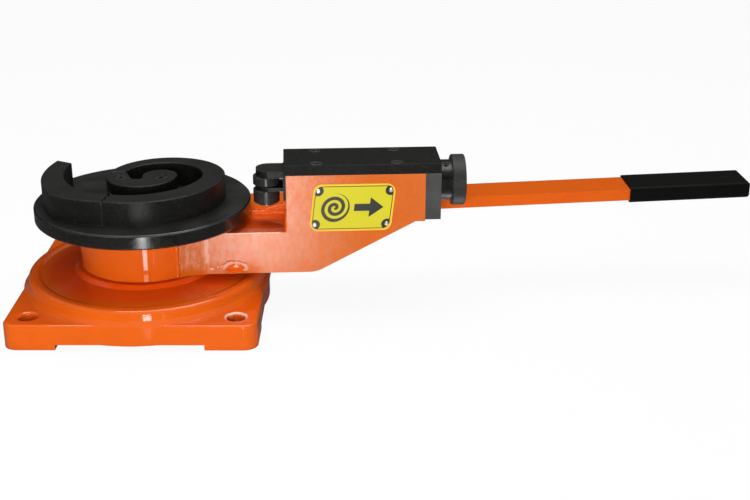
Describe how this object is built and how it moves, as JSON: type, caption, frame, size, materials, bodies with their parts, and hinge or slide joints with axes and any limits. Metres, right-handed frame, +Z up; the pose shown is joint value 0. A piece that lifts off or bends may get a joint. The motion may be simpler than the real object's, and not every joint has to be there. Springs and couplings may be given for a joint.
{
  "type": "scroll bender",
  "caption": "Bench bender with a round scroll former on a fixed disk, and a swinging lever arm that presses rollers towards it with a hand screw.",
  "frame": {"origin": "on the spindle axis, level with the undersides of the base's feet, at the centre of the four bolt holes", "axes": "+Z up along the spindle; +X and +Y along the sides of the square base, with the arm resting 3.6 degrees round from +X"},
  "size_m": [0.7655, 0.254, 0.1604],
  "materials": {
    "orange_paint": "gloss enamel",
    "black_steel": "satin black",
    "dark_steel": "black oxide",
    "ground_steel": "ground and oiled",
    "bright_steel": "turned",
    "bronze": "turned",
    "grip_rubber": "matt",
    "plate_yellow": "printed enamel",
    "rivet_metal": "plain"
  },
  "bodies": {
    "base_unit": {"base_casting": "orange_paint", "spindle": "ground_steel", "spindle_key": "ground_steel", "spindle_washer": "ground_steel", "spindle_nut": "ground_steel", "thrust_washer": "bronze", "former_disk": "black_steel", "center_former": "black_steel", "former_set_screw": "bright_steel", "former_screws": "dark_steel"},
    "bending_arm": {"swing_hub": "orange_paint", "hub_bush": "bronze", "front_side_plate": "orange_paint", "rear_side_plate": "orange_paint", "arm_bottom_plate": "orange_paint", "front_hub_blend": "orange_paint", "arm_deck": "orange_paint", "housing_web": "orange_paint", "guide_floor": "orange_paint", "cover_plate": "black_steel", "cover_screws": "dark_steel", "end_plate": "ground_steel", "end_plate_screws": "dark_steel", "handle_bar": "orange_paint", "handle_grip": "grip_rubber", "nameplate": "plate_yellow", "nameplate_rivets": "rivet_metal"},
    "feed_screw_unit": {"feed_screw": "bright_steel", "thrust_collar": "bright_steel", "collar_set_screw": "dark_steel", "hand_knob": "black_steel", "knob_set_screw": "bright_steel"},
    "carriage": {"slide_block": "black_steel", "feed_nut": "bronze", "roller_pin": "bright_steel"},
    "upper_roller_body": {"upper_roller": "black_steel"},
    "lower_roller_body": {"lower_roller": "black_steel"},
    "middle_segment": {"middle_former": "black_steel", "middle_former_dowels": "bright_steel"},
    "outer_segment": {"outer_former": "black_steel", "outer_former_dowels": "bright_steel"}
  },
  "joints": [
    {"name": "arm_swing", "type": "hinge", "parent": "base_unit", "child": "bending_arm", "pos_m": [0, 0, 0.072], "axis": [0, 0, 1], "continuous": true},
    {"name": "screw_turn", "type": "hinge", "parent": "bending_arm", "child": "feed_screw_unit", "pos_m": [0.31555, 0.00122, 0.1336], "axis": [0.998, 0.0628, 0], "range_deg": [-455, 455]},
    {"name": "carriage_slide", "type": "slide", "parent": "bending_arm", "child": "carriage", "axis": [0.998, 0.0628, 0], "range_m": [-0.005, 0.005]},
    {"name": "upper_roller_spin", "type": "hinge", "parent": "carriage", "child": "upper_roller_body", "pos_m": [0.12772, -0.0106, 0.1376], "axis": [0, 0, 1], "continuous": true},
    {"name": "lower_roller_spin", "type": "hinge", "parent": "carriage", "child": "lower_roller_body", "pos_m": [0.12772, -0.0106, 0.1213], "axis": [0, 0, 1], "continuous": true},
    {"name": "middle_lift", "type": "slide", "parent": "base_unit", "child": "middle_segment", "axis": [0, 0, 1], "range_m": [0, 0.03]},
    {"name": "outer_lift", "type": "slide", "parent": "base_unit", "child": "outer_segment", "axis": [0, 0, 1], "range_m": [0, 0.03]}
  ],
  "couplings": [
    {"joint": "screw_turn", "follows": "carriage_slide", "rad_per_m": -1570.8}
  ]
}
